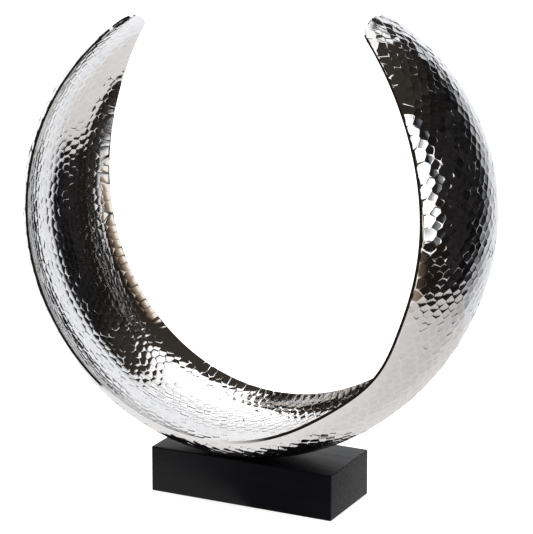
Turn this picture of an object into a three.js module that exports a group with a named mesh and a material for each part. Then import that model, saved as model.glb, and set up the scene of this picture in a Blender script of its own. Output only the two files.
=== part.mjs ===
// Abstract sculpture: a hammered sheet-metal crescent, open side up, on a low black wooden plinth.
// Units are millimetres, +Z is up and the front faces -Y. The plinth's underside is at Z = 0.
import * as THREE from 'three';
import { RoundedBoxGeometry } from 'three/addons/geometries/RoundedBoxGeometry.js';

// Plinth
const PLINTH_WIDTH = 200;
const PLINTH_DEPTH = 88;
const PLINTH_HEIGHT = 47.3;
const PLINTH_EDGE_RADIUS = 1.2;
const PLINTH_EDGE_SEGMENTS = 2;
const PLINTH_SETBACK = 14.6;
const PLINTH_LEFT_OFFSET = 1.8;

// Crescent: a band that follows a ring and is curved across like a barrel
const RING_RADIUS = 239.5;
const BARREL_RADIUS = 115.8;
const SHEET_THICKNESS = 2;
const SEAT_GAP = 0.3;

// How far the hand-raised ring strays from a true circle
const OVAL = -3.9;
const THREE_LOBE = 3;
const SKEW = -5.7;

// Arms, measured as angles up from the lowest point
const ARM_ANGLE = THREE.MathUtils.degToRad(146.6);
const ARM_DIFFERENCE = THREE.MathUtils.degToRad(2);

// Width of the band from the bottom to the tips
const BAND_WIDTH = 165.3;
const TIP_WIDTH = 66.6;
const TAPER_START = 0.3;
const TAPER_POWER = 4.8;
const TIP_ROUNDING = 0.024;
const RIGHT_ARM_EXTRA = 0.024;

// Where the front rim is trimmed back a little, low on the right arm
const TRIM_DEPTH = 5.5;
const TRIM_ANGLE = THREE.MathUtils.degToRad(54);
const TRIM_SPREAD = THREE.MathUtils.degToRad(14);

// Hammer marks: a staggered lattice of shallow pits on both faces
const MARK_ROWS = 124;
const MARK_COLUMNS = 16;
const MARK_DEPTH = 0.45;
const TIP_ROWS = 5;

/** Radius of the outer face on the band's middle line, at an angle from the bottom. */
function middleRadius(angle) {
  const oval = OVAL * (Math.cos(2 * angle) - 1);
  const lobes = THREE_LOBE * (Math.cos(3 * angle) - 1);
  return RING_RADIUS + oval + lobes + SKEW * Math.sin(2 * angle);
}

/** Angle from the bottom for a station between -1, the left tip, and 1, the right tip. */
function armAngle(station) {
  return station * ARM_ANGLE + station * station * ARM_DIFFERENCE;
}

/** Width of the band at a station: constant below, tapering above and round at the tip. */
function bandWidth(station) {
  const along = Math.abs(station);
  const taper = Math.max(0, (along - TAPER_START) / (1 - TAPER_START));
  const width = BAND_WIDTH - (BAND_WIDTH - TIP_WIDTH) * taper ** TAPER_POWER;
  const fromEnd = Math.min(1, (1 - along) / TIP_ROUNDING);
  const roundEnd = Math.sqrt(1 - (1 - fromEnd) ** 2);
  return width * (1 + RIGHT_ARM_EXTRA * station) * roundEnd;
}

/** Distance from the band's middle line to its front or back rim. */
function halfWidth(station, isFront) {
  const fromTrim = (armAngle(station) - TRIM_ANGLE) / TRIM_SPREAD;
  const trim = isFront ? TRIM_DEPTH * Math.exp(-(fromTrim ** 2)) : 0;
  return bandWidth(station) / 2 - trim;
}

/**
 * Point on the outer or inner face.
 * across runs from -1 at the front rim to 1 at the back rim, and pit is the depth of a hammer mark.
 */
function bandPoint(station, across, isInner, pit) {
  const angle = armAngle(station);
  const tilt = across * Math.asin(Math.max(0, halfWidth(station, across < 0)) / BARREL_RADIUS);
  const sag = BARREL_RADIUS * (1 - Math.cos(tilt));
  const depth = isInner ? SHEET_THICKNESS / Math.cos(tilt) - pit : pit;
  const radius = middleRadius(angle) - sag - depth;
  return new THREE.Vector3(
    radius * Math.sin(angle),
    BARREL_RADIUS * Math.sin(tilt),
    RING_RADIUS - radius * Math.cos(angle),
  );
}

/** Stations of the rows of points: even along the arms, then closing in on a quarter circle at each tip. */
function rowStations() {
  const straight = 1 - TIP_ROUNDING;
  const rows = [];
  for (let row = 0; row <= MARK_ROWS; row += 1) {
    rows.push(straight * ((2 * row) / MARK_ROWS - 1));
  }
  for (let row = 1; row < TIP_ROWS; row += 1) {
    const end = straight + TIP_ROUNDING * Math.sin(((row / TIP_ROWS) * Math.PI) / 2);
    rows.push(end);
    rows.unshift(-end);
  }
  return rows;
}

/** The closed band: hammered outer and inner faces, flat rims and rounded tips. */
function crescentGeometry() {
  const positions = [];
  const triangles = [];
  const rows = rowStations();
  const lastRow = rows.length - 1;
  const addPoint = (point) => positions.push(point.x, point.y, point.z) / 3 - 1;

  const isPit = (row, column) => {
    const inside = column > 0 && column < MARK_COLUMNS && row >= TIP_ROWS && row <= lastRow - TIP_ROWS;
    return inside && (row + column) % 2 === 1;
  };

  // Points of one face, as rows of vertex numbers, with its two tip points
  const addFace = (isInner) => {
    const grid = rows.map((station, row) => {
      const line = [];
      for (let column = 0; column <= MARK_COLUMNS; column += 1) {
        const across = (2 * column) / MARK_COLUMNS - 1;
        const pit = isPit(row, column) ? MARK_DEPTH : 0;
        line.push(addPoint(bandPoint(station, across, isInner, pit)));
      }
      return line;
    });
    const tips = [-1, 1].map((station) => addPoint(bandPoint(station, 0, isInner, 0)));
    return { grid, tips };
  };

  const outer = addFace(false);
  const inner = addFace(true);
  const addOutside = (a, b, c) => triangles.push(a, b, c);
  const addBothFaces = (pick) => {
    const [a, b, c] = pick(outer);
    const [d, e, f] = pick(inner);
    triangles.push(a, b, c, d, f, e);
  };

  // Faces: each square is split along its ridge, so that a pit has four facets
  for (let row = 0; row < lastRow; row += 1) {
    for (let column = 0; column < MARK_COLUMNS; column += 1) {
      const corners = ({ grid }) => [
        grid[row][column],
        grid[row][column + 1],
        grid[row + 1][column],
        grid[row + 1][column + 1],
      ];
      const ridgeFirst = (row + column) % 2 === 0;
      const halves = ridgeFirst ? [[0, 1, 3], [0, 3, 2]] : [[0, 1, 2], [1, 3, 2]];
      halves.forEach((half) => addBothFaces((face) => half.map((corner) => corners(face)[corner])));
    }
  }

  // Tips: a fan from the last row to the tip point
  for (let column = 0; column < MARK_COLUMNS; column += 1) {
    addBothFaces(({ grid, tips }) => [grid[0][column + 1], grid[0][column], tips[0]]);
    addBothFaces(({ grid, tips }) => [grid[lastRow][column], grid[lastRow][column + 1], tips[1]]);
  }

  // Rims: flat strips that face front and back and meet at the tips
  const rimLine = ({ grid, tips }, column) => [tips[0], ...grid.map((line) => line[column]), tips[1]];
  [0, MARK_COLUMNS].forEach((column) => {
    const outerLine = rimLine(outer, column);
    const innerLine = rimLine(inner, column);
    for (let step = 0; step < outerLine.length - 1; step += 1) {
      const ends = [outerLine[step], outerLine[step + 1], innerLine[step], innerLine[step + 1]];
      const [a, b, c, d] = column === 0 ? ends : [ends[1], ends[0], ends[3], ends[2]];
      addOutside(a, b, c);
      addOutside(b, d, c);
    }
  });

  const geometry = new THREE.BufferGeometry();
  geometry.setAttribute('position', new THREE.Float32BufferAttribute(positions, 3));
  geometry.setIndex(triangles);
  geometry.computeVertexNormals();
  geometry.computeBoundingBox();
  return geometry;
}

/** Polished, hammered metal crescent, centred on the Z axis and standing on the plinth's top. */
function makeCrescent() {
  const geometry = crescentGeometry();
  const material = new THREE.MeshStandardMaterial({ color: 0xcfcfd2, metalness: 1, roughness: 0.08 });
  const crescent = new THREE.Mesh(geometry, material);
  crescent.name = 'hammered_crescent';
  const { min, max } = geometry.boundingBox;
  crescent.position.set(-(min.x + max.x) / 2, -(min.y + max.y) / 2, PLINTH_HEIGHT + SEAT_GAP - min.z);
  return crescent;
}

/** Black wooden block with slightly eased edges. */
function makePlinth(crescentPosition) {
  const geometry = new RoundedBoxGeometry(
    PLINTH_WIDTH,
    PLINTH_DEPTH,
    PLINTH_HEIGHT,
    PLINTH_EDGE_SEGMENTS,
    PLINTH_EDGE_RADIUS,
  );
  const material = new THREE.MeshStandardMaterial({ color: 0x17161a, metalness: 0, roughness: 0.45 });
  const plinth = new THREE.Mesh(geometry, material);
  plinth.name = 'plinth';
  plinth.position.set(
    crescentPosition.x - PLINTH_LEFT_OFFSET,
    crescentPosition.y + PLINTH_SETBACK,
    PLINTH_HEIGHT / 2,
  );
  return plinth;
}

const sculpture = new THREE.Group();
const crescent = makeCrescent();
sculpture.add(crescent, makePlinth(crescent.position));

export default sculpture;
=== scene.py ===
"""A hammered metal crescent on a black wooden plinth, modelled and dressed for rendering.

Sizes are in millimetres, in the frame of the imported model: +Z is up and the front faces -Y.
"""

import logging
import math
from collections import Counter
from collections.abc import Iterator
from dataclasses import dataclass
from enum import Enum
from functools import partial
from heapq import merge
from typing import Any

import bpy
import numpy as np
from mathutils import Matrix, Vector
from mathutils.geometry import delaunay_2d_cdt

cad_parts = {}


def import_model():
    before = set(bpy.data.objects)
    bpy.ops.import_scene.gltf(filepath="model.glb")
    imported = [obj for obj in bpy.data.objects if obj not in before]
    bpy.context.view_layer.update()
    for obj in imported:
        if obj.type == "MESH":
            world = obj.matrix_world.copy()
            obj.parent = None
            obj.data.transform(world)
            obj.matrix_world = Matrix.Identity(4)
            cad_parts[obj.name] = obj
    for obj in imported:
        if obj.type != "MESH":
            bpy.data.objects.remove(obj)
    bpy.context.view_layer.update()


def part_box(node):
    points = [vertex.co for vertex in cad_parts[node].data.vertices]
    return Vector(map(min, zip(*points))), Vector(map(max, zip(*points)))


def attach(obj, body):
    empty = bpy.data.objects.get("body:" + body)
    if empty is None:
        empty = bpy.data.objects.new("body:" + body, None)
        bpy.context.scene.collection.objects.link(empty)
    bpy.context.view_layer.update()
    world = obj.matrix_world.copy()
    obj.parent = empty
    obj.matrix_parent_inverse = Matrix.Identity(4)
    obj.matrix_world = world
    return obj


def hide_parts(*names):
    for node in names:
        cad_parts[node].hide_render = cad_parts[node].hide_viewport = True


Triple = tuple[float, float, float]

LOG = logging.getLogger("sculpture")
METRES = 0.001
PHOTO_WIDTH = 533

# Turn of the camera about Z, in radians, which the sheets round the sculpture share
CAMERA_TURN = 0.4611

# Over this width a seam of a lit sheet turns from light to dark
SEAM_EDGE = 4.0

# A ray that has met the metal more often than this shows a later reflection
FIRST_REFLECTION = 1.5

# Least share of its light that a lit sheet keeps in a later reflection
LEAST_ECHO = 0.02


def linear_colour(hex_code: str) -> tuple[float, float, float, float]:
    """Turn an sRGB hex colour into the linear colour that a shader takes.

    Args:
        hex_code: Six hex digits, with or without a leading #.

    Returns:
        Red, green, blue and an alpha of 1.
    """
    digits = hex_code.lstrip("#")
    channels = [int(digits[place:place + 2], 16) / 255 for place in (0, 2, 4)]
    linear = [c / 12.92 if c <= 0.04045 else ((c + 0.055) / 1.055) ** 2.4 for c in channels]
    return (linear[0], linear[1], linear[2], 1.0)


def add_node(
    tree: bpy.types.NodeTree,
    kind: str,
    settings: dict[str, Any] | None = None,
    inputs: dict[str | int, Any] | None = None,
) -> bpy.types.Node:
    """Add a node, give it its settings, and link or set its inputs.

    Args:
        tree: Node tree that gets the node.
        kind: Type name of the node.
        settings: Values of the node's own properties.
        inputs: Values by input name or number. A socket is linked, anything else is set.

    Returns:
        The new node.
    """
    node = tree.nodes.new(kind)
    for name, value in (settings or {}).items():
        setattr(node, name, value)
    for name, value in (inputs or {}).items():
        if isinstance(value, bpy.types.NodeSocket):
            tree.links.new(value, node.inputs[name])
        else:
            node.inputs[name].default_value = value
    return node


def mix_colours(add: partial, share: Any, first: Any, second: Any) -> bpy.types.NodeSocket:
    """Mix two colours.

    Args:
        add: Function that adds a node to the tree.
        share: Share of the second colour.
        first: First colour.
        second: Second colour.

    Returns:
        The socket of the mixed colour.
    """
    mixed = add("ShaderNodeMix", {"data_type": "RGBA"}, {0: share, 6: first, 7: second})
    return mixed.outputs[2]


def new_tree(owner: bpy.types.Material | bpy.types.World) -> bpy.types.NodeTree:
    """Give a material or a world an empty node tree and return it."""
    owner.use_nodes = True
    owner.node_tree.nodes.clear()
    return owner.node_tree


def in_turn(loop: list[int]) -> Iterator[tuple[int, int]]:
    """Pair each item of a closed loop with the next one."""
    return zip(loop, loop[1:] + loop[:1])


def deselect_all() -> None:
    """Deselect every object, so that an operator acts on the new one alone."""
    if bpy.context.object and bpy.context.object.mode != "OBJECT":
        bpy.ops.object.mode_set(mode="OBJECT")
    bpy.ops.object.select_all(action="DESELECT")


@dataclass(frozen=True)
class PolishedSteel:
    """Mirror-polished stainless steel, buffed after hammering.

    The eye sees sharp reflections, a little softer and darker down in the marks,
    where the buffing wheel reaches less, and bright along the ridges.
    """

    name: str = "mirror_polished_stainless_steel"
    ridge_colour: str = "#e7e6e6"
    pit_colour: str = "#dedddd"
    ridge_roughness: float = 0.03
    pit_roughness: float = 0.055
    haze_size: float = 38.0
    haze_roughness: float = 0.025

    def material(self) -> bpy.types.Material:
        """Make the material.

        Returns:
            The material, which reads the sheet's mark attribute and Object coordinates.
        """
        material = bpy.data.materials.new(self.name)
        add = partial(add_node, new_tree(material))
        mark = add("ShaderNodeAttribute", {"attribute_name": "mark"})
        place = add("ShaderNodeTexCoord")
        haze = add(
            "ShaderNodeTexNoise",
            inputs={
                "Vector": place.outputs["Object"],
                "Scale": 1 / (self.haze_size * METRES),
                "Detail": 4.0,
                "Roughness": 0.55,
            },
        )
        ridge, pit = linear_colour(self.ridge_colour), linear_colour(self.pit_colour)
        in_pit = add(
            "ShaderNodeMapRange",
            inputs={
                "Value": mark.outputs["Fac"],
                "To Min": self.ridge_roughness,
                "To Max": self.pit_roughness,
            },
        )
        hazed = add(
            "ShaderNodeMath",
            {"operation": "MULTIPLY_ADD"},
            {0: haze.outputs["Fac"], 1: self.haze_roughness, 2: in_pit.outputs["Result"]},
        )
        shader = add(
            "ShaderNodeBsdfPrincipled",
            inputs={
                "Base Color": mix_colours(add, mark.outputs["Fac"], ridge, pit),
                "Metallic": 1.0,
                "Roughness": hazed.outputs["Value"],
            },
        )
        add("ShaderNodeOutputMaterial", inputs={"Surface": shader.outputs["BSDF"]})
        return material


@dataclass(frozen=True)
class StainedWood:
    """Close-grained hardwood, stained black and wiped with satin lacquer.

    The eye sees a near-black body, fine dark pores drawn out along the block,
    soft brighter streaks between them and a satin sheen at low angles. The
    ends show open end grain, drawn coarser than real pores so that it can be seen.
    """

    name: str = "black_stained_hardwood"
    body_colour: str = "#060508"
    streak_colour: str = "#0f0e13"
    pore_length: float = 36.0
    pore_width: float = 1.8
    streak_width: float = 5.0
    roughness_low: float = 0.30
    roughness_high: float = 0.46
    relief: float = 0.9
    side_relief: float = 0.08
    sheen: float = 0.18

    def material(self) -> bpy.types.Material:
        """Make the material, with the grain running along X.

        Returns:
            The material, on Object coordinates.
        """
        material = bpy.data.materials.new(self.name)
        add = partial(add_node, new_tree(material))
        place = add("ShaderNodeTexCoord")
        stretch = (self.pore_width / self.pore_length, 1.0, 1.0)
        along_grain = add(
            "ShaderNodeMapping",
            inputs={"Vector": place.outputs["Object"], "Scale": stretch},
        )
        pores = add(
            "ShaderNodeTexNoise",
            inputs={
                "Vector": along_grain.outputs["Vector"],
                "Scale": 1 / (self.pore_width * METRES),
                "Detail": 3.0,
                "Roughness": 0.6,
            },
        )
        streaks = add(
            "ShaderNodeTexNoise",
            inputs={
                "Vector": along_grain.outputs["Vector"],
                "Scale": 1 / (self.streak_width * METRES),
                "Detail": 5.0,
                "Distortion": 0.4,
            },
        )
        body, streak = linear_colour(self.body_colour), linear_colour(self.streak_colour)
        roughness = add(
            "ShaderNodeMapRange",
            inputs={
                "Value": pores.outputs["Fac"],
                "From Min": 0.3,
                "From Max": 0.7,
                "To Min": self.roughness_high,
                "To Max": self.roughness_low,
            },
        )
        sides = add("ShaderNodeSeparateXYZ", inputs={0: place.outputs["Normal"]})
        facing = add("ShaderNodeMath", {"operation": "ABSOLUTE"}, {0: sides.outputs["X"]})
        openness = add(
            "ShaderNodeMapRange",
            inputs={"Value": facing.outputs["Value"], "To Min": self.side_relief, "To Max": 1.0},
        )
        bump = add(
            "ShaderNodeBump",
            inputs={
                "Strength": openness.outputs["Result"],
                "Distance": self.relief * METRES,
                "Height": pores.outputs["Fac"],
            },
        )
        shader = add(
            "ShaderNodeBsdfPrincipled",
            inputs={
                "Base Color": mix_colours(add, streaks.outputs["Fac"], body, streak),
                "Roughness": roughness.outputs["Result"],
                "IOR": 1.5,
                "Specular IOR Level": self.sheen,
                "Normal": bump.outputs["Normal"],
            },
        )
        add("ShaderNodeOutputMaterial", inputs={"Surface": shader.outputs["BSDF"]})
        return material


class Face(Enum):
    """The two faces of the sheet."""

    OUTER = "outer"
    INNER = "inner"


class RowsRun(Enum):
    """Which way the rows of hammer marks run."""

    ALONG = "along the ring"
    ACROSS = "across the band"


@dataclass(frozen=True)
class MarkPattern:
    """How the hammer marks of one face are set out.

    Attributes:
        rows_run: Which way the rows run.
        row_pitch: Distance between rows.
        mark_pitch: Distance between marks in a row. Every other row is shifted by half of it.
        scatter: How far a mark strays from its place.
        depth: Usual depth of a mark.
        depth_scatter: Share that the depth varies by.
        ridge: How far the ridges between marks are thrown up.
        lean: Usual slope that a mark leans by.
        seed: Seed of the uneven places, depths and slopes.
        calm_edge: Distance from the rim within which the marks are shallower.
        rim_share: Share of their depth that they keep at the rim.
    """

    rows_run: RowsRun
    row_pitch: float
    mark_pitch: float
    scatter: float
    depth: float
    depth_scatter: float
    ridge: float
    lean: float
    seed: int
    calm_edge: float
    rim_share: float

    def spacing(self) -> float:
        """Distance from a mark to its nearest neighbours in the next row."""
        return math.hypot(self.row_pitch, self.mark_pitch / 2)


@dataclass
class CellCorners:
    """Corners where the cells round the marks meet.

    Attributes:
        around: Numbers of the three centres round each corner.
        middle: Middle of those three.
        meeting: Place of the corner.
        on_rim: Whether it lies on the rim.
    """

    around: np.ndarray
    middle: np.ndarray
    meeting: np.ndarray
    on_rim: np.ndarray


@dataclass
class MarkLayout:
    """Hammer marks of one face, laid out on the flat pattern of the sheet.

    Attributes:
        flat: Points, as distances along the ring and across the band.
        depth: How deep each point lies below the face, in millimetres.
        triangles: Point numbers, counterclockwise on the flat pattern.
        rim_loop: Point numbers round the rim, in the same turn.
        rim_place: How far round the rim each of them lies.
    """

    flat: np.ndarray
    depth: np.ndarray
    triangles: list[tuple[int, int, int]]
    rim_loop: list[int]
    rim_place: list[int]


@dataclass
class HammeredCrescent:
    """The band of sheet metal: an open ring, curved across like a barrel, hammered on both faces.

    The ridges between the marks follow a staggered lattice that no operator lays on a
    doubly curved sheet, so this mesh is made point by point.
    """

    ring_radius: float = 239.5
    barrel_radius: float = 115.8
    sheet_thickness: float = 2.0
    oval: float = -3.9
    three_lobe: float = 3.0
    skew: float = -5.7
    arm_angle: float = math.radians(146.6)
    arm_difference: float = math.radians(2.0)
    band_width: float = 165.3
    tip_width: float = 66.6
    taper_start: float = 0.3
    taper_power: float = 4.8
    tip_rounding: float = 0.024
    right_arm_extra: float = 0.024
    trim_depth: float = 5.5
    trim_angle: float = math.radians(54.0)
    trim_spread: float = math.radians(14.0)
    rim_steps: int = 4001
    dish_radius: float = 5.6
    dish_rings: tuple[float, ...] = (0.78, 0.92)
    outer_marks: MarkPattern = MarkPattern(
        rows_run=RowsRun.ACROSS,
        row_pitch=7.2,
        mark_pitch=11.0,
        scatter=0.6,
        depth=0.28,
        depth_scatter=0.2,
        ridge=0.02,
        lean=0.03,
        seed=7,
        calm_edge=14.0,
        rim_share=0.35,
    )
    inner_marks: MarkPattern = MarkPattern(
        rows_run=RowsRun.ALONG,
        row_pitch=8.1,
        mark_pitch=9.8,
        scatter=0.8,
        depth=0.27,
        depth_scatter=0.4,
        ridge=0.0,
        lean=0.014,
        seed=8,
        calm_edge=21.0,
        rim_share=0.2,
    )

    # Centres closer than this would count as one
    same_place: float = 1e-6

    # Shares of the distance between marks
    edge_clearance: float = 0.4
    mirror_reach: float = 1.9
    corner_stray: float = 0.5
    corner_merge: float = 0.22

    # Limits of the uneven depths and slopes, as shares of their usual values
    depth_limit: float = 0.6
    lean_limit: float = 2.2

    # Added to a face's seed, so that its depths don't follow its places
    depth_seed: int = 100

    def station(self, angle: np.ndarray) -> np.ndarray:
        """Find the station, -1 at the left tip to 1 at the right tip, of an angle from the bottom."""
        inside = self.arm_angle ** 2 + 4 * self.arm_difference * angle
        return (np.sqrt(inside) - self.arm_angle) / (2 * self.arm_difference)

    def angle(self, station: np.ndarray) -> np.ndarray:
        """Angle from the bottom at a station."""
        return station * self.arm_angle + station ** 2 * self.arm_difference

    def middle_radius(self, angle: np.ndarray) -> np.ndarray:
        """Radius of the outer face on the band's middle line."""
        oval = self.oval * (np.cos(2 * angle) - 1)
        lobes = self.three_lobe * (np.cos(3 * angle) - 1)
        return self.ring_radius + oval + lobes + self.skew * np.sin(2 * angle)

    def rim_reach(self, station: np.ndarray, is_front: bool) -> np.ndarray:
        """Measure the arc across the barrel from the middle line to a rim.

        Args:
            station: Places along the band.
            is_front: Whether the front or the back rim is meant.

        Returns:
            Arc lengths, which are 0 at the tips.
        """
        along = np.minimum(1.0, np.abs(station))
        taper = np.maximum(0.0, (along - self.taper_start) / (1 - self.taper_start))
        width = self.band_width - (self.band_width - self.tip_width) * taper ** self.taper_power
        from_end = np.minimum(1.0, (1 - along) / self.tip_rounding)
        round_end = np.sqrt(1 - (1 - from_end) ** 2)
        half = width * (1 + self.right_arm_extra * station) * round_end / 2
        if is_front:
            from_trim = (self.angle(station) - self.trim_angle) / self.trim_spread
            half = half - self.trim_depth * np.exp(-(from_trim ** 2))
        return self.barrel_radius * np.arcsin(np.maximum(0.0, half) / self.barrel_radius)

    def rim_line(self) -> np.ndarray:
        """Draw the sheet's whole edge on the flat pattern.

        Returns:
            Points of the closed line, close together and evenly spread round the tips.
        """
        turn = np.linspace(-1.0, 1.0, self.rim_steps)
        station = np.sign(turn) * (1 - (1 - np.abs(turn)) ** 2)
        along = self.ring_radius * self.angle(station)
        front = np.stack([along, -self.rim_reach(station, True)], axis=1)
        back = np.stack([along, self.rim_reach(station, False)], axis=1)
        return np.vstack([front, back[::-1]])

    @staticmethod
    def nearest(points: np.ndarray, line: np.ndarray) -> tuple[np.ndarray, np.ndarray]:
        """Find the nearest place on a line for each point.

        Args:
            points: Points on the flat pattern.
            line: Points of the line.

        Returns:
            Distances, and the numbers of the nearest points of the line.
        """
        squares, places = [], []
        at_once = 500
        for start in range(0, len(points), at_once):
            gaps = ((points[start:start + at_once, None] - line) ** 2).sum(axis=2)
            squares.append(gaps.min(axis=1))
            places.append(gaps.argmin(axis=1))
        return np.sqrt(np.concatenate(squares)), np.concatenate(places)

    def mark_centres(self, rim: np.ndarray, marks: MarkPattern) -> np.ndarray:
        """Set out the blows of the hammer: staggered rows, a little uneven.

        Args:
            rim: The sheet's edge on the flat pattern.
            marks: The pattern of the marks.

        Returns:
            Centres that lie far enough inside the edge.
        """
        random = np.random.default_rng(marks.seed)
        is_along = marks.rows_run is RowsRun.ALONG
        row_axis, mark_axis = (1, 0) if is_along else (0, 1)
        rows = np.arange(rim[:, row_axis].min(), rim[:, row_axis].max(), marks.row_pitch)
        steps = np.arange(rim[:, mark_axis].min(), rim[:, mark_axis].max(), marks.mark_pitch)
        centres = []
        for index, row in enumerate(rows):
            for step in steps:
                shifted = step + (index % 2) * marks.mark_pitch / 2
                centres.append((shifted, row) if is_along else (row, shifted))
        scattered = np.array(centres) + random.normal(0, marks.scatter, (len(centres), 2))
        station = self.station(scattered[:, 0] / self.ring_radius)
        inside = np.abs(station) < 1
        inside &= scattered[:, 1] > -self.rim_reach(station, True)
        inside &= scattered[:, 1] < self.rim_reach(station, False)
        kept = scattered[inside]
        gap, _ = self.nearest(kept, rim)
        return kept[gap > self.edge_clearance * marks.spacing()]

    def find_corners(
        self, centres: np.ndarray, mirrored: np.ndarray, rim: np.ndarray, marks: MarkPattern
    ) -> CellCorners:
        """Find where the cells round the marks meet.

        Args:
            centres: Centres of the marks.
            mirrored: Centres near the rim, mirrored in it to bound the outermost cells.
            rim: The sheet's edge on the flat pattern.
            marks: The pattern of the marks.

        Returns:
            The corners of the cells.
        """
        count = len(centres)
        seeds = np.vstack([centres, mirrored])
        vectors = [Vector(point) for point in seeds]
        _, _, triangles, origins, _, _ = delaunay_2d_cdt(vectors, [], [], 0, self.same_place)
        around = np.array([[origins[point][0] for point in triangle] for triangle in triangles])
        around = around[(around < count).any(axis=1)]

        # A corner is as far from each of the three centres round it
        first, second, third = (seeds[around[:, side]] for side in range(3))
        to_second, to_third = second - first, third - first
        cross = 2 * (to_second[:, 0] * to_third[:, 1] - to_second[:, 1] * to_third[:, 0])
        long_second, long_third = (to_second ** 2).sum(axis=1), (to_third ** 2).sum(axis=1)
        shift = np.stack(
            [
                (to_third[:, 1] * long_second - to_second[:, 1] * long_third) / cross,
                (to_second[:, 0] * long_third - to_third[:, 0] * long_second) / cross,
            ],
            axis=1,
        )
        middle = (first + second + third) / 3
        meeting = first + shift
        far = np.linalg.norm(meeting - middle, axis=1) > self.corner_stray * marks.spacing()
        meeting[far] = middle[far]
        on_rim = (around >= count).any(axis=1)
        meeting[on_rim] = rim[self.nearest(meeting[on_rim], rim)[1]]
        return CellCorners(around, middle, meeting, on_rim)

    def gather_cells(
        self, centres: np.ndarray, corners: CellCorners, marks: MarkPattern
    ) -> list[list[int]]:
        """List the corners round each mark. Those that fall together on the rim become one.

        Args:
            centres: Centres of the marks.
            corners: Corners of their cells.
            marks: The pattern of the marks.

        Returns:
            Corner numbers of each cell, counterclockwise.
        """
        fans: list[list[int]] = [[] for _ in centres]
        for number, triangle in enumerate(corners.around):
            for seed in triangle:
                if seed < len(centres):
                    fans[seed].append(number)
        joined = list(range(len(corners.around)))

        def root(number: int) -> int:
            """Follow a corner to the one that it was joined to."""
            while joined[number] != number:
                number = joined[number]
            return number

        rings = []
        for centre, fan in zip(centres, fans):
            bearing = corners.middle[fan] - centre
            turn = np.argsort(np.arctan2(bearing[:, 1], bearing[:, 0]))
            rings.append([fan[place] for place in turn])
            for here, after in in_turn(rings[-1]):
                apart = np.linalg.norm(corners.meeting[here] - corners.meeting[after])
                is_close = apart < self.corner_merge * marks.spacing()
                if is_close and corners.on_rim[here] and corners.on_rim[after]:
                    joined[root(here)] = root(after)

        cells = []
        for ring in rings:
            roots = [root(number) for number in ring]
            cells.append([here for before, here in zip(roots[-1:] + roots, roots) if here != before])
        return cells

    def lay_out_marks(self, marks: MarkPattern) -> MarkLayout:
        """Divide the flat pattern into one cell for each mark, and each cell into a dished fan.

        Args:
            marks: The pattern of the marks.

        Returns:
            The points and triangles of one face.
        """
        rim = self.rim_line()
        centres = self.mark_centres(rim, marks)
        gap, foot = self.nearest(centres, rim)
        near = gap < self.mirror_reach * marks.spacing()
        corners = self.find_corners(centres, 2 * rim[foot[near]] - centres[near], rim, marks)
        cells = self.gather_cells(centres, corners, marks)

        # Corners in use, and points halfway along the sides on the rim
        sides: Counter[tuple[int, int]] = Counter()
        for cell in cells:
            sides.update(tuple(sorted(pair)) for pair in in_turn(cell))
        used = sorted({number for cell in cells for number in cell})
        rim_sides = [pair for pair, uses in sides.items() if uses == 1]
        count = len(centres)
        corner_point = {number: count + place for place, number in enumerate(used)}
        rim_point = {pair: count + len(used) + place for place, pair in enumerate(rim_sides)}
        halves = np.array([(corners.meeting[a] + corners.meeting[b]) / 2 for a, b in rim_sides])
        halves = rim[self.nearest(halves, rim)[1]]
        flat = [*centres, *corners.meeting[used], *halves]

        # Each cell becomes a fan inside rings that close in on its outline
        owners: list[tuple[int, int]] = []
        triangles: list[tuple[int, int, int]] = []
        next_on_rim: dict[int, int] = {}
        for seed, cell in enumerate(cells):
            owners.append((seed, seed))
            outline: list[int] = []
            for here, after in in_turn(cell):
                pair = tuple(sorted((here, after)))
                outline.append(corner_point[here])
                if pair in rim_point:
                    outline.append(rim_point[pair])
                    next_on_rim[corner_point[here]] = rim_point[pair]
                    next_on_rim[rim_point[pair]] = corner_point[after]
            owners += [(seed, point) for point in outline]
            rings = []
            for share in self.dish_rings:
                rings.append(list(range(len(flat), len(flat) + len(outline))))
                owners += [(seed, point) for point in rings[-1]]
                flat += [centres[seed] + share * (flat[point] - centres[seed]) for point in outline]
            rings.append(outline)
            triangles += [(seed, a, b) for a, b in in_turn(rings[0])]
            for inside, outside in zip(rings, rings[1:]):
                for place in range(len(outline)):
                    after = (place + 1) % len(outline)
                    triangles.append((inside[place], outside[place], outside[after]))
                    triangles.append((inside[place], outside[after], inside[after]))
        points = np.array(flat)
        round_rim = list(next_on_rim)
        strength = (gap / marks.calm_edge).clip(marks.rim_share, 1)
        depth = self.dish_depths(points, np.array(owners), strength, marks)
        depth[count:count + len(used)] -= marks.ridge
        depth[round_rim] = 0

        # The rim as one loop, which starts at its first place
        places = dict(zip(round_rim, self.nearest(points[round_rim], rim)[1].tolist()))
        loop = [min(places, key=places.get)]
        while next_on_rim[loop[-1]] != loop[0]:
            loop.append(next_on_rim[loop[-1]])
        return MarkLayout(points, depth, triangles, loop, [places[point] for point in loop])

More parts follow.
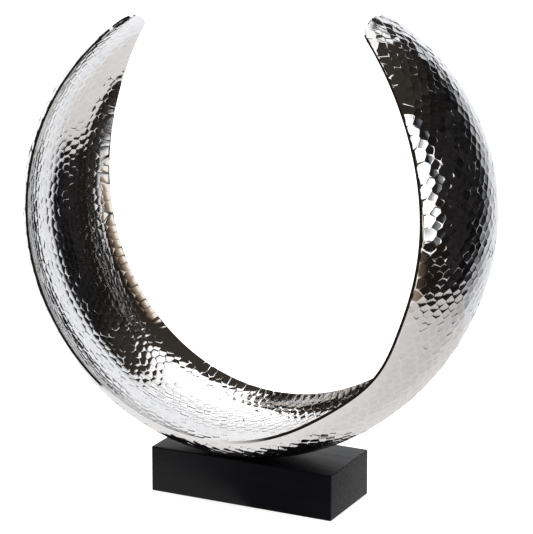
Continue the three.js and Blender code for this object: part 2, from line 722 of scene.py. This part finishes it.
    def dish_depths(
        self, points: np.ndarray, owners: np.ndarray, strength: np.ndarray, marks: MarkPattern
    ) -> np.ndarray:
        """Sink a shallow dish round each centre, leaning a little, shared where dishes meet.

        Args:
            points: Points on the flat pattern, the centres first.
            owners: Pairs of a centre's number and the number of a point in its dish.
            strength: Share of its full depth and slope that each dish has.
            marks: The pattern of the marks.

        Returns:
            Depth of each point.
        """
        random = np.random.default_rng(marks.seed + self.depth_seed)
        count = owners[:, 0].max() + 1
        uneven = random.normal(0, marks.depth_scatter, count).clip(-self.depth_limit, self.depth_limit)
        steepest = self.lean_limit * marks.lean
        slopes = random.normal(0, marks.lean, (count, 2)).clip(-steepest, steepest)
        full = marks.depth * (1 + uneven) * strength
        slopes *= strength[:, None]
        centre, point = owners.T
        away = points[point] - points[centre]
        sunk = full[centre] * (1 - (away ** 2).sum(axis=1) / self.dish_radius ** 2)
        sunk += (away * slopes[centre]).sum(axis=1)
        return np.bincount(point, sunk, len(points)) / np.bincount(point, minlength=len(points))

    @staticmethod
    def close_rim(outer: MarkLayout, inner: MarkLayout) -> list[tuple[int, int, int]]:
        """Join the edges of the two faces by a strip of triangles.

        Args:
            outer: Layout of the outer face.
            inner: Layout of the inner face, whose points follow the outer ones.

        Returns:
            Point numbers of the triangles.
        """
        first = len(outer.flat)
        outer_loop = outer.rim_loop + outer.rim_loop[:1]
        inner_loop = [first + point for point in inner.rim_loop + inner.rim_loop[:1]]
        outer_steps = [(place, False) for place in outer.rim_place[1:] + [math.inf]]
        inner_steps = [(place, True) for place in inner.rim_place[1:] + [math.inf]]
        strip = []
        here, there = 0, 0
        for _, is_inner in merge(outer_steps, inner_steps):
            if is_inner:
                strip.append((inner_loop[there + 1], inner_loop[there], outer_loop[here]))
                there += 1
            else:
                strip.append((inner_loop[there], outer_loop[here], outer_loop[here + 1]))
                here += 1
        return strip

    def place(self, flat: np.ndarray, depth: np.ndarray, face: Face) -> np.ndarray:
        """Wrap the flat pattern round the ring.

        Args:
            flat: Points on the flat pattern.
            depth: Depth of each point below its face, in millimetres.
            face: The face that the points belong to.

        Returns:
            Points in space, with the ring's lowest point at the origin.
        """
        angle = flat[:, 0] / self.ring_radius
        tilt = flat[:, 1] / self.barrel_radius
        sag = self.barrel_radius * (1 - np.cos(tilt))
        inward = depth if face is Face.OUTER else self.sheet_thickness / np.cos(tilt) - depth
        radius = self.middle_radius(angle) - sag - inward
        return np.stack(
            [
                radius * np.sin(angle),
                self.barrel_radius * np.sin(tilt),
                self.ring_radius - radius * np.cos(angle),
            ],
            axis=1,
        )

    def build(self, finish: PolishedSteel) -> bpy.types.Object:
        """Model the crescent where its solid stands and dress it.

        Args:
            finish: The metal's finish.

        Returns:
            The finished piece.
        """
        outer = self.lay_out_marks(self.outer_marks)
        inner = self.lay_out_marks(self.inner_marks)
        outside = self.place(outer.flat, outer.depth, Face.OUTER)
        inside = self.place(inner.flat, inner.depth, Face.INNER)
        points = np.vstack([outside, inside])
        low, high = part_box("hammered_crescent")
        middle = (points.min(axis=0) + points.max(axis=0)) / 2
        offset = np.array([*((low + high) / 2 / METRES)]) - middle
        points = (points + offset) * METRES
        count = len(outer.flat)
        faces = [(a, c, b) for a, b, c in outer.triangles]
        faces += [(a + count, b + count, c + count) for a, b, c in inner.triangles]
        faces += self.close_rim(outer, inner)

        mesh = bpy.data.meshes.new("crescent_sheet")
        mesh.from_pydata(points.tolist(), [], faces)
        mesh.update(calc_edges=True)
        self.shade(mesh, [outer.rim_loop, [count + point for point in inner.rim_loop]])
        pits = [outer.depth / self.outer_marks.depth, inner.depth / self.inner_marks.depth]
        marks = mesh.attributes.new("mark", "FLOAT", "POINT")
        marks.data.foreach_set("value", np.concatenate(pits).clip(0, 1).astype(np.float32))
        mesh.materials.append(finish.material())
        piece = bpy.data.objects.new("crescent_sheet", mesh)
        bpy.context.scene.collection.objects.link(piece)
        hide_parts("hammered_crescent")
        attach(piece, "root")
        LOG.info("%s: %d triangles", piece.name, len(faces))
        return piece

    @staticmethod
    def shade(mesh: bpy.types.Mesh, loops: list[list[int]]) -> None:
        """Shade the hammered faces smooth, and keep the edges of the rims crisp.

        Args:
            mesh: The sheet's mesh.
            loops: Point numbers round the edge of each face.
        """
        mesh.shade_smooth()
        crisp = {tuple(sorted(pair)) for loop in loops for pair in in_turn(loop)}
        sharp = mesh.attributes.new("sharp_edge", "BOOLEAN", "EDGE")
        sharp.data.foreach_set("value", [tuple(sorted(edge.vertices)) in crisp for edge in mesh.edges])


@dataclass
class Plinth:
    """The wooden block, with edges eased by sanding."""

    width: float = 200.0
    depth: float = 88.0
    height: float = 47.3
    edge_radius: float = 1.2
    edge_segments: int = 4
    smooth_angle: float = math.radians(35)

    def build(self, finish: StainedWood) -> bpy.types.Object:
        """Model the block where its solid stands and dress it.

        Args:
            finish: The wood's finish.

        Returns:
            The finished piece.
        """
        low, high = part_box("plinth")
        deselect_all()
        bpy.ops.mesh.primitive_cube_add(size=1, location=(low + high) / 2)
        block = bpy.context.object
        block.name = "plinth_block"
        block.data.name = "plinth_block"
        block.scale = Vector((self.width, self.depth, self.height)) * METRES
        bpy.ops.object.transform_apply(location=True, rotation=True, scale=True)
        bevel = block.modifiers.new("eased edges", "BEVEL")
        bevel.width = self.edge_radius * METRES
        bevel.segments = self.edge_segments
        bevel.harden_normals = False
        bpy.ops.object.modifier_apply(modifier=bevel.name)
        bpy.ops.object.shade_smooth_by_angle(angle=self.smooth_angle)
        block.data.materials.append(finish.material())
        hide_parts("plinth")
        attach(block, "root")
        LOG.info("%s: %d faces", block.name, len(block.data.polygons))
        return block


def hang_glowing_sheet(
    name: str,
    points: list[Triple],
    glow: list[Triple],
    echoes: tuple[float, ...] = (1.0, 1.0),
    turn: float = CAMERA_TURN,
) -> bpy.types.Object:
    """Hang a lit sheet of paper or cloth that shows in the metal alone.

    Args:
        name: Name of the sheet.
        points: Its points in millimetres, in rows from left to right.
        glow: Linear colour of the light that leaves each point.
        echoes: Share of the light that a second reflection still shows, for each point in a row.
            It is kept between none and all, so that a number outside these makes a sharper change.
        turn: Turn of the sheet about Z, in radians.

    Returns:
        The sheet.
    """
    columns = len(echoes)
    faces = [
        (place, place + 1, place + columns + 1, place + columns)
        for row in range(0, len(points) - columns, columns)
        for place in range(row, row + columns - 1)
    ]
    mesh = bpy.data.meshes.new(name)
    mesh.from_pydata(points, [], faces)
    mesh.transform(Matrix.Rotation(turn, 4, "Z") @ Matrix.Scale(METRES, 4))
    colours = mesh.attributes.new("glow", "FLOAT_COLOR", "POINT")
    shares = echoes * (len(points) // columns)
    colours.data.foreach_set("color", [part for lit in zip(glow, shares) for part in (*lit[0], lit[1])])
    material = bpy.data.materials.new(name)
    add = partial(add_node, new_tree(material))
    lit = add("ShaderNodeAttribute", {"attribute_name": "glow"})
    path = add("ShaderNodeLightPath")
    is_later = add(
        "ShaderNodeMath",
        {"operation": "GREATER_THAN"},
        {0: path.outputs["Glossy Depth"], 1: FIRST_REFLECTION},
    )
    share = add(
        "ShaderNodeMapRange",
        inputs={"Value": is_later.outputs["Value"], "To Min": 1.0, "To Max": lit.outputs["Alpha"]},
    )
    kept = add(
        "ShaderNodeMath",
        {"operation": "MAXIMUM", "use_clamp": True},
        {0: share.outputs["Result"], 1: LEAST_ECHO},
    )
    light = add(
        "ShaderNodeEmission",
        inputs={"Color": lit.outputs["Color"], "Strength": kept.outputs["Value"]},
    )
    add("ShaderNodeOutputMaterial", inputs={"Surface": light.outputs["Emission"]})
    mesh.materials.append(material)
    sheet = bpy.data.objects.new(name, mesh)
    bpy.context.scene.collection.objects.link(sheet)
    sheet.visible_camera = False
    sheet.visible_diffuse = False
    sheet.visible_shadow = False
    sheet.visible_transmission = False
    return sheet


def blend(start: float, end: float, share: float) -> float:
    """Go a share of the way from one value to another."""
    return start + (end - start) * share


def seam_rows(place: float, width: float, share: float) -> list[tuple[float, float]]:
    """Set out the rows of a lit sheet round a dark seam.

    Args:
        place: Where the middle of the seam lies.
        width: Width of the seam.
        share: Share of the light that leaves the seam.

    Returns:
        Places of four rows, each with the share of the light that leaves it.
    """
    half = width / 2
    outer = half + SEAM_EDGE
    return [(place - outer, 1.0), (place - half, share), (place + half, share), (place + outer, 1.0)]


@dataclass
class Sweep:
    """White paper below and behind the sculpture, square to the camera.

    Attributes:
        floor: Height of its flat part.
        front: Where its flat part begins, towards the camera.
        wall: Where its upright part stands, away from the camera.
        bend_radius: Radius of the bend between the two.
        top: Height of its top edge.
        shoulder: Height on the upright part where its edges turn.
        lefts: Its left edge at the front, at both ends of the bend, at the shoulder and at the top.
        fades: Where it begins to fade towards the right, at the same places.
        rights: Its right edge at the same places.
        left_glow: Light that leaves the left edge at the same places.
        fade_glow: Light that leaves it where it begins to fade, at the same places.
        right_glow: Light that leaves the right edge at the same places.
        bend_steps: Number of rows round the bend.
        seam: Height of a dark seam across the upright part.
        seam_width: Width of the seam.
        seam_share: Share of the light that leaves the seam.
        echoes: Share of the light that a second reflection still shows, from left to right.
    """

    floor: float = -600.0
    front: float = -1200.0
    wall: float = 420.0
    bend_radius: float = 220.0
    shoulder: float = 450.0
    top: float = 750.0
    lefts: tuple[float, ...] = (0.0, -500.0, -490.0, -470.0, -420.0)
    fades: tuple[float, ...] = (500.0, 500.0, 900.0, 430.0, 280.0)
    rights: tuple[float, ...] = (850.0, 1550.0, 1600.0, 900.0, 640.0)
    left_glow: tuple[Triple, ...] = tuple((grey,) * 3 for grey in (1.0, 1.05, 1.1, 1.15, 1.3))
    fade_glow: tuple[Triple, ...] = (
        (0.82, 0.785, 0.755),
        (0.74, 0.72, 0.705),
        (0.72, 0.73, 0.75),
        (1.0, 1.02, 1.05),
        (1.2, 1.22, 1.25),
    )
    right_glow: tuple[Triple, ...] = (
        (0.70, 0.67, 0.645),
        (0.56, 0.55, 0.54),
        (0.12, 0.125, 0.135),
        (0.06, 0.062, 0.068),
        (0.06, 0.062, 0.068),
    )
    bend_steps: int = 8
    seam: float = 622.0
    seam_width: float = 34.0
    seam_share: float = 0.08
    echoes: tuple[float, ...] = (-4.3, 3.2, 3.2)

    def build(self) -> bpy.types.Object:
        """Hang the paper.

        Returns:
            The paper.
        """
        places = [(self.front, self.floor, 0, 1, 0.0, 1.0)]
        for step in range(self.bend_steps + 1):
            share = step / self.bend_steps
            angle = share * math.pi / 2
            ahead = self.wall - self.bend_radius * (1 - math.sin(angle))
            height = self.floor + self.bend_radius * (1 - math.cos(angle))
            places.append((ahead, height, 1, 2, share, 1.0))
        places.append((self.wall, self.shoulder, 2, 3, 1.0, 1.0))
        for height, light in seam_rows(self.seam, self.seam_width, self.seam_share):
            share = (height - self.shoulder) / (self.top - self.shoulder)
            places.append((self.wall, height, 3, 4, share, light))
        places.append((self.wall, self.top, 3, 4, 1.0, 1.0))
        points = []
        glow = []
        for ahead, height, start, end, share, strength in places:
            for edge, light in (
                (self.lefts, self.left_glow),
                (self.fades, self.fade_glow),
                (self.rights, self.right_glow),
            ):
                points.append((blend(edge[start], edge[end], share), ahead, height))
                blended = [blend(a, b, share) for a, b in zip(light[start], light[end])]
                glow.append(tuple(strength * part for part in blended))
        return hang_glowing_sheet("paper_sweep", points, glow, self.echoes)


@dataclass
class Canopy:
    """White cloth above the sculpture, square to the camera, with its front corners cut away.

    Attributes:
        height: Height that it hangs at.
        aheads: Rows of the cloth, from the front to the back.
        lefts: Its left edge in each row.
        rights: Its right edge in each row.
        seams: Dark seams between widths of the cloth.
        seam_width: Width of a seam.
        left_glow: Strength of the light that leaves its left edge.
        right_glow: Strength of the light that leaves its right edge.
        seam_share: Share of the light that leaves a seam.
        echoes: Share of the light that a second reflection still shows, from left to right.
    """

    height: float = 1100.0
    aheads: tuple[float, ...] = (-300.0, -210.0, -140.0, -80.0, 90.0, 200.0, 340.0, 590.0)
    lefts: tuple[float, ...] = (70.0, -100.0, -300.0, -500.0, -540.0, -540.0, -540.0, -540.0)
    rights: tuple[float, ...] = (400.0, 445.0, 445.0, 445.0, 425.0, 440.0, 550.0, 620.0)
    seams: tuple[float, ...] = (325.0, 465.0)
    seam_width: float = 40.0
    left_glow: float = 1.9
    right_glow: float = 1.15
    seam_share: float = 0.06
    echoes: tuple[float, ...] = (-0.8, 1.0)

    def build(self) -> bpy.types.Object:
        """Hang the cloth.

        Returns:
            The cloth.
        """
        rows = [(ahead, 1.0) for ahead in self.aheads]
        for seam in self.seams:
            rows += seam_rows(seam, self.seam_width, self.seam_share)
        points = []
        glow = []
        for ahead, share in sorted(rows):
            left = float(np.interp(ahead, self.aheads, self.lefts))
            right = float(np.interp(ahead, self.aheads, self.rights))
            points += [(left, ahead, self.height), (right, ahead, self.height)]
            glow += [(share * self.left_glow,) * 3, (share * self.right_glow,) * 3]
        return hang_glowing_sheet("canopy", points, glow, self.echoes)


@dataclass
class Table:
    """White paper close round the plinth, square to the camera.

    Attributes:
        height: Height that it lies at.
        aheads: Rows from its front edge to its back edge.
        left: Its left edge.
        rights: Its right edge in each row.
        strengths: Share of its light that leaves each row.
        left_glow: Light that leaves its left edge.
        right_glow: Light that leaves its right edge.
        echoes: Share of the light that a second reflection still shows, from left to right.
    """

    height: float = 0.2
    aheads: tuple[float, ...] = (-262.0, -218.0, -60.0, 20.0, 300.0)
    left: float = -480.0
    rights: tuple[float, ...] = (-200.0, -200.0, -240.0, 400.0, 400.0)
    strengths: tuple[float, ...] = (0.02, 1.0, 1.0, 1.0, 1.0)
    left_glow: Triple = (1.0, 1.0, 1.0)
    right_glow: Triple = (0.76, 0.735, 0.71)
    echoes: tuple[float, ...] = (-1.0, 1.0)

    def build(self) -> bpy.types.Object:
        """Lay the paper just above the floor.

        Returns:
            The paper.
        """
        points = []
        glow = []
        for ahead, right, strength in zip(self.aheads, self.rights, self.strengths):
            width = (right - self.left) / (max(self.rights) - self.left)
            points += [(self.left, ahead, self.height), (right, ahead, self.height)]
            for share in (0.0, width):
                light = [blend(a, b, share) for a, b in zip(self.left_glow, self.right_glow)]
                glow.append(tuple(strength * part for part in light))
        return hang_glowing_sheet("table_paper", points, glow, self.echoes)


@dataclass
class SideCloth:
    """Upright strip of lit cloth on the right.

    Attributes:
        name: Name of the strip.
        places: Places from its front edge to its back edge.
        glows: Light that leaves it at those places.
        low: Height of its lower edge.
        high: Height of its upper edge.
        lean: How much further back its upper edge is.
        turn: Turn of the strip about Z, in radians.
        side: How far to the right it hangs.
    """

    name: str
    places: tuple[float, ...]
    glows: tuple[Triple, ...]
    low: float
    high: float
    lean: float
    turn: float = -0.363
    side: float = 1000.0

    def build(self) -> bpy.types.Object:
        """Hang the strip.

        Returns:
            The strip.
        """
        points = []
        glow = []
        for place, light in zip(self.places, self.glows):
            points += [(self.side, place, self.low), (self.side, place + self.lean, self.high)]
            glow += [light, light]
        return hang_glowing_sheet(self.name, points, glow, turn=self.turn)


WHITE_CLOTH = SideCloth(
    name="white_cloth",
    places=(-40.0, 100.0, 145.0, 215.0),
    glows=((1.7, 1.72, 1.75), (1.7, 1.72, 1.75), (0.35, 0.355, 0.36), (0.03, 0.034, 0.042)),
    low=40.0,
    high=1080.0,
    lean=118.0,
)

WARM_CLOTH = SideCloth(
    name="warm_cloth",
    places=(-180.0, -20.0, 25.0, 85.0, 160.0),
    glows=(
        (1.1, 1.07, 1.02),
        (1.1, 1.04, 0.96),
        (0.42, 0.33, 0.24),
        (0.16, 0.115, 0.08),
        (0.03, 0.025, 0.02),
    ),
    low=-400.0,
    high=1300.0,
    lean=-454.0,
)


@dataclass
class Studio:
    """White floor and background, soft light, a dark room in the reflections, and the camera."""

    floor_size: float = 12000.0
    floor_colour: str = "#f4f3f2"
    surround_strength: float = 1.25
    room_colour: str = "#0f0f10"
    room_glow: str = "#2f2d2e"
    front_colour: str = "#221e19"
    ceiling_colour: str = "#3c3731"
    floor_glow: float = 0.58
    overhead_power: float = 2.5
    overhead_size: tuple[float, float] = (715.0, 630.0)
    overhead_place: Triple = (-38.0, 76.0, 800.0)
    camera_place: Triple = (988.76, -1964.30, 816.73)
    camera_pitch: float = 0.2568
    focal_pixels: float = 2317.7
    sensor_width: float = 36.0

    def lay_floor(self) -> None:
        """Lay a plain pale floor that the metal doesn't mirror, as it mirrors the studio round it."""
        deselect_all()
        bpy.ops.mesh.primitive_plane_add(size=self.floor_size * METRES)
        floor = bpy.context.object
        floor.name = "floor"
        material = bpy.data.materials.new("white_paper")
        add = partial(add_node, new_tree(material))
        colour = linear_colour(self.floor_colour)
        paper = add("ShaderNodeBsdfDiffuse", inputs={"Color": colour})
        lit = add("ShaderNodeEmission", inputs={"Strength": self.floor_glow})
        both = add(
            "ShaderNodeAddShader",
            inputs={0: paper.outputs["BSDF"], 1: lit.outputs["Emission"]},
        )
        add("ShaderNodeOutputMaterial", inputs={"Surface": both.outputs["Shader"]})
        floor.data.materials.append(material)
        floor.visible_glossy = False

    def fill_world(self) -> None:
        """Surround the sculpture with white, and in its reflections with a dim room."""
        world = bpy.data.worlds.new("studio")
        bpy.context.scene.world = world
        add = partial(add_node, new_tree(world))
        place = add("ShaderNodeTexCoord")
        parts = add("ShaderNodeSeparateXYZ", inputs={0: place.outputs["Generated"]})
        patches = add(
            "ShaderNodeTexNoise",
            inputs={"Vector": place.outputs["Generated"], "Scale": 3.0, "Detail": 3.0},
        )
        dim: Any = linear_colour(self.room_colour)
        for source, low, high, tint in (
            (patches.outputs["Fac"], 0.35, 0.65, self.room_glow),
            (parts.outputs["Y"], 0.35, -0.25, self.front_colour),
            (parts.outputs["Z"], 0.45, 0.9, self.ceiling_colour),
        ):
            reach = add(
                "ShaderNodeMapRange",
                {"interpolation_type": "SMOOTHSTEP"},
                {"Value": source, "From Min": low, "From Max": high},
            )
            dim = mix_colours(add, reach.outputs["Result"], dim, linear_colour(tint))
        path = add("ShaderNodeLightPath")
        white = (self.surround_strength, self.surround_strength, self.surround_strength, 1.0)
        chosen = mix_colours(add, path.outputs["Is Glossy Ray"], white, dim)
        light = add("ShaderNodeBackground", inputs={"Color": chosen})
        add("ShaderNodeOutputWorld", inputs={"Surface": light.outputs["Background"]})

    def add_overhead(self) -> None:
        """Hang a soft box above the sculpture, square to the camera."""
        deselect_all()
        bpy.ops.object.light_add(type="AREA", location=Vector(self.overhead_place) * METRES)
        lamp = bpy.context.object
        lamp.name = "overhead"
        lamp.data.shape = "RECTANGLE"
        lamp.data.size = self.overhead_size[0] * METRES
        lamp.data.size_y = self.overhead_size[1] * METRES
        lamp.data.energy = self.overhead_power
        lamp.rotation_euler = (0.0, 0.0, CAMERA_TURN)
        lamp.visible_camera = False
        lamp.visible_glossy = False

    def set_camera(self) -> None:
        """Set the camera where the photograph was taken from."""
        turn, pitch = CAMERA_TURN, self.camera_pitch
        level = math.cos(pitch)
        forward = Vector((-math.sin(turn) * level, math.cos(turn) * level, -math.sin(pitch)))
        right = Vector((math.cos(turn), math.sin(turn), 0))
        up = right.cross(forward)
        data = bpy.data.cameras.new("camera")
        data.sensor_fit = "HORIZONTAL"
        data.sensor_width = self.sensor_width
        data.lens = self.focal_pixels * self.sensor_width / PHOTO_WIDTH
        camera = bpy.data.objects.new("camera", data)
        bpy.context.scene.collection.objects.link(camera)
        axes = Matrix((right, up, -forward)).transposed()
        camera.matrix_world = Matrix.Translation(Vector(self.camera_place) * METRES) @ axes.to_4x4()
        bpy.context.scene.camera = camera

    def build(self) -> None:
        """Set up the floor, the light and the camera."""
        self.lay_floor()
        self.fill_world()
        for sheet in (Sweep(), Table(), Canopy(), WHITE_CLOTH, WARM_CLOTH):
            sheet.build()
        self.add_overhead()
        self.set_camera()
        bpy.context.scene.view_settings.view_transform = "Standard"
        LOG.info("studio ready")


def main() -> None:
    """Load the solids, build each piece over them, and set up the studio."""
    logging.basicConfig(level=logging.INFO, format="%(name)s: %(message)s")
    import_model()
    HammeredCrescent().build(PolishedSteel())
    Plinth().build(StainedWood())
    Studio().build()
    bpy.context.view_layer.update()


if __name__ == "__main__":
    main()
